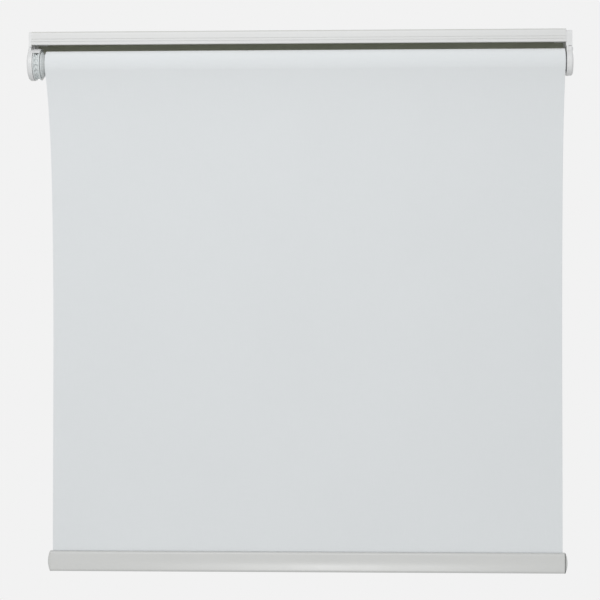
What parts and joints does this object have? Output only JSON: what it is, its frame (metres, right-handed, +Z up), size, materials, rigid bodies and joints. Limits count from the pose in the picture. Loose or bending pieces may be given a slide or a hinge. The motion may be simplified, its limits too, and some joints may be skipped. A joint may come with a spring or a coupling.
{
  "type": "blackout roller blind",
  "caption": "Blackout roller blind with a shallow metal headrail, a chain clutch at the left, a sprung idle end at the right and a weighted bottom bar.",
  "frame": {"origin": "middle of the line of wall screws, on the wall face of the headrail", "axes": "+Z up, +Y into the wall, so the room is on -Y, and X along the width with the chain clutch at -X"},
  "size_m": [0.602, 0.05, 0.6035],
  "materials": {
    "rail_paint": "satin white powder coat",
    "white_plastic": "moulded, satin",
    "clutch_plastic": "natural moulded nylon",
    "grey_plastic": "moulded, matt",
    "bar_plastic": "moulded, satin",
    "bar_paint": "satin warm grey powder coat",
    "tube_aluminium": "mill finish",
    "blackout_fabric": "fine plain weave, coated",
    "steel": "zinc plated",
    "tape": "double-sided tape"
  },
  "bodies": {
    "headrail": {"headrail_profile": "rail_paint", "control_bracket": "white_plastic", "control_bracket_cover": "white_plastic", "idle_bracket": "white_plastic", "idle_bracket_cover": "white_plastic", "bracket_screws": "steel", "chain_guard": "white_plastic", "clutch_spindle": "clutch_plastic", "spindle_screw": "steel", "spindle_clip": "steel", "idle_bush": "grey_plastic"},
    "chain_wheel": {"chain_wheel": "clutch_plastic"},
    "roller": {"drive_crown": "clutch_plastic", "brake_springs": "steel", "roller_tube": "tube_aluminium", "fabric_tape": "tape", "fabric_roll": "blackout_fabric", "idle_plug": "grey_plastic", "idle_spring": "steel"},
    "idle_pin": {"idle_pin": "steel"},
    "bottom_bar": {"bottom_bar_profile": "bar_paint", "fabric_keeper": "clutch_plastic", "ballast_bar": "steel", "bar_cap_left": "bar_plastic", "bar_cap_right": "bar_plastic", "fabric_panel": "blackout_fabric"}
  },
  "joints": [
    {"name": "bar_travel", "type": "slide", "parent": "headrail", "child": "bottom_bar", "axis": [0, 0, 1], "range_m": [-0.9, 0.47], "deforming": ["fabric_panel"]},
    {"name": "roller_spin", "type": "hinge", "parent": "headrail", "child": "roller", "pos_m": [0, -0.0324, -0.0156], "axis": [-1, 0, 0], "range_deg": [-3440, 1800]},
    {"name": "chain_wheel_spin", "type": "hinge", "parent": "headrail", "child": "chain_wheel", "pos_m": [-0.29, -0.0324, -0.0156], "axis": [-1, 0, 0], "range_deg": [-3440, 1800]},
    {"name": "idle_pin_slide", "type": "slide", "parent": "roller", "child": "idle_pin", "axis": [1, 0, 0], "range_m": [-0.0032, 0], "stiffness_N_per_m": 400, "springref_m": 0.004, "deforming": ["idle_spring"]}
  ],
  "couplings": [
    {"joint": "roller_spin", "follows": "bar_travel", "rad_per_m": 66.667},
    {"joint": "chain_wheel_spin", "follows": "bar_travel", "rad_per_m": 66.667}
  ]
}
